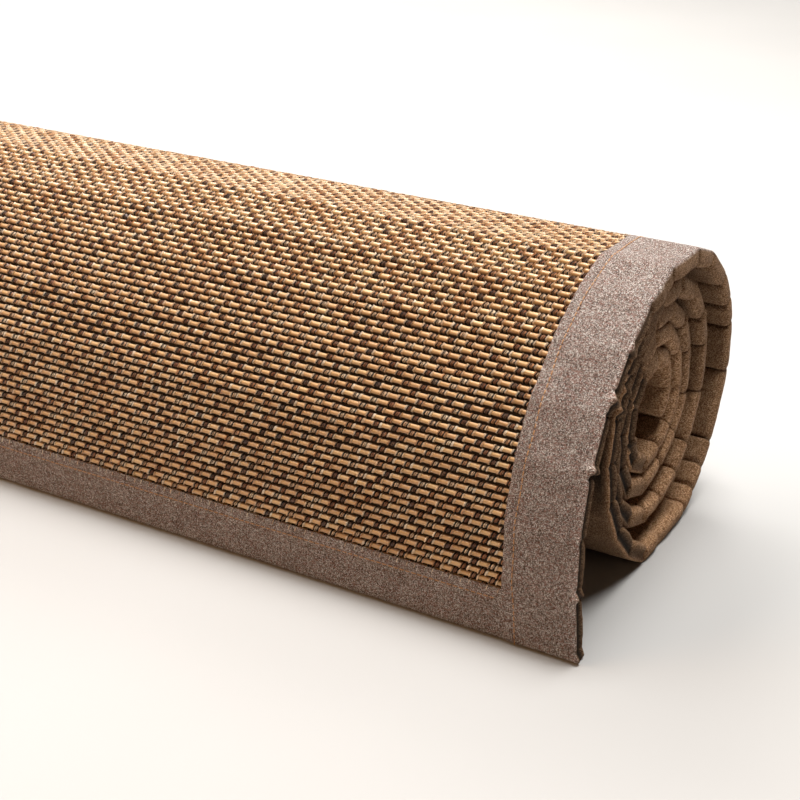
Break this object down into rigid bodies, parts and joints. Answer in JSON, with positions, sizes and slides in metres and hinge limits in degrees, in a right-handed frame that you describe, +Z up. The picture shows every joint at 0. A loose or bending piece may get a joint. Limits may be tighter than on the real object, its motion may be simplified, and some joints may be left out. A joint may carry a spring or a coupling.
{
  "type": "rolled bamboo rug",
  "caption": "Woven bamboo mat rug with cloth-bound edges, rolled up, its loose end hanging down the front of the roll to the floor.",
  "frame": {"origin": "on the floor, under the middle of the bounding box", "axes": "+X along the roll towards its open near end, +Z up, the loose end hangs on the -Y side"},
  "size_m": [1.4198, 0.2773, 0.2132],
  "materials": {
    "woven_bamboo": "satin woven bamboo splints with black thread",
    "binding_cloth": "matt taupe melange linen weave with rust topstitching"
  },
  "bodies": {
    "root": {"bamboo_mat": "woven_bamboo", "side_binding_near": "binding_cloth", "side_binding_far": "binding_cloth", "end_binding_outer": "binding_cloth", "end_binding_core": "binding_cloth"}
  },
  "joints": []
}
